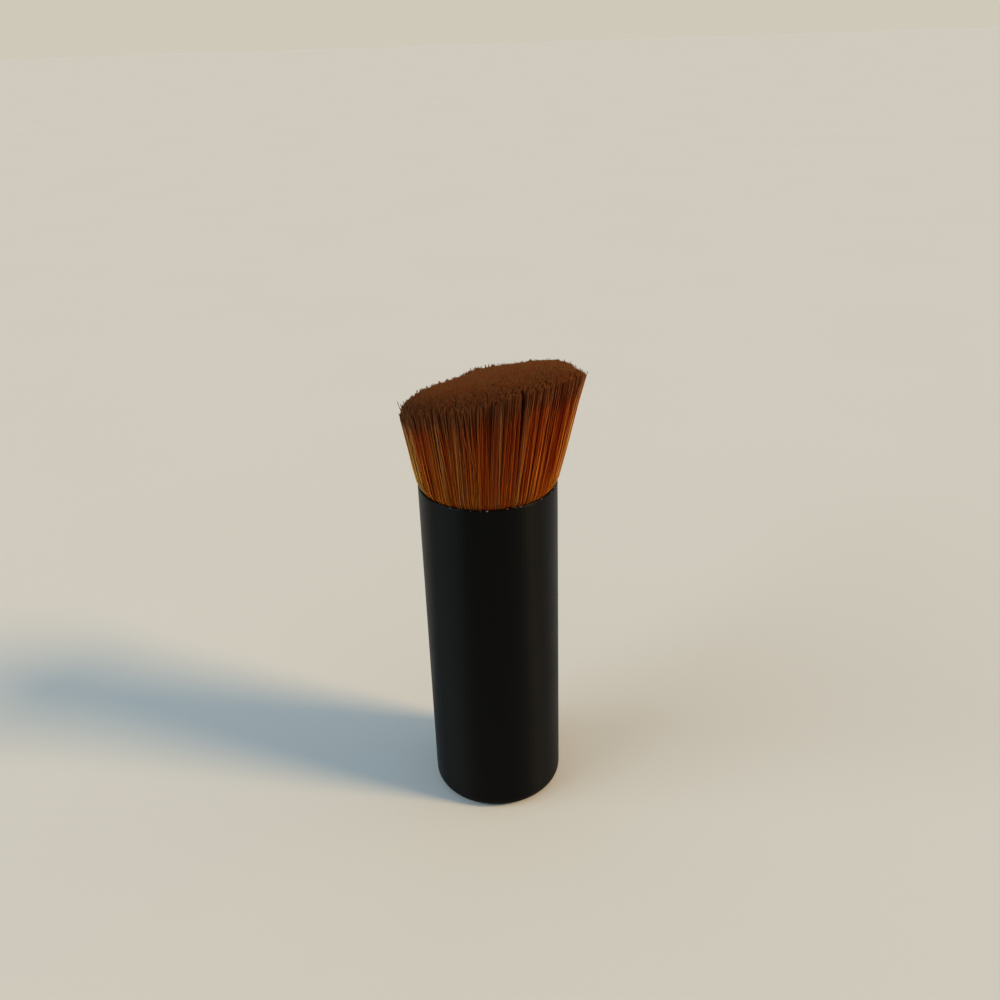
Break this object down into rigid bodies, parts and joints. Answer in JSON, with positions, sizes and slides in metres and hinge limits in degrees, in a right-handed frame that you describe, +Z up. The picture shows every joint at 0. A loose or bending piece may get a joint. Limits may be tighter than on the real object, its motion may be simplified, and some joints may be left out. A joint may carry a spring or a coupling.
{
  "type": "foundation brush",
  "caption": "Short round foundation brush: a satin black can handle that stands on its flat foot, with a dense flared tuft cut on a slant.",
  "frame": {"origin": "centre of the flat base that the brush stands on", "axes": "+Z up the handle to the tuft, +X to the right and +Y away from the viewer of the picture"},
  "size_m": [0.0289, 0.0289, 0.0809],
  "materials": {
    "handle_shell": "satin black coat",
    "core_sleeve": "moulded",
    "base_weight": "turned",
    "ferrule_cup": "pressed",
    "resin_plug": "cast",
    "tuft": "synthetic hair, amber with dark brown tips"
  },
  "bodies": {
    "root": {"handle_shell": "handle_shell", "core_sleeve": "core_sleeve", "base_weight": "base_weight", "ferrule_cup": "ferrule_cup", "resin_plug": "resin_plug", "tuft": "tuft"}
  },
  "joints": []
}
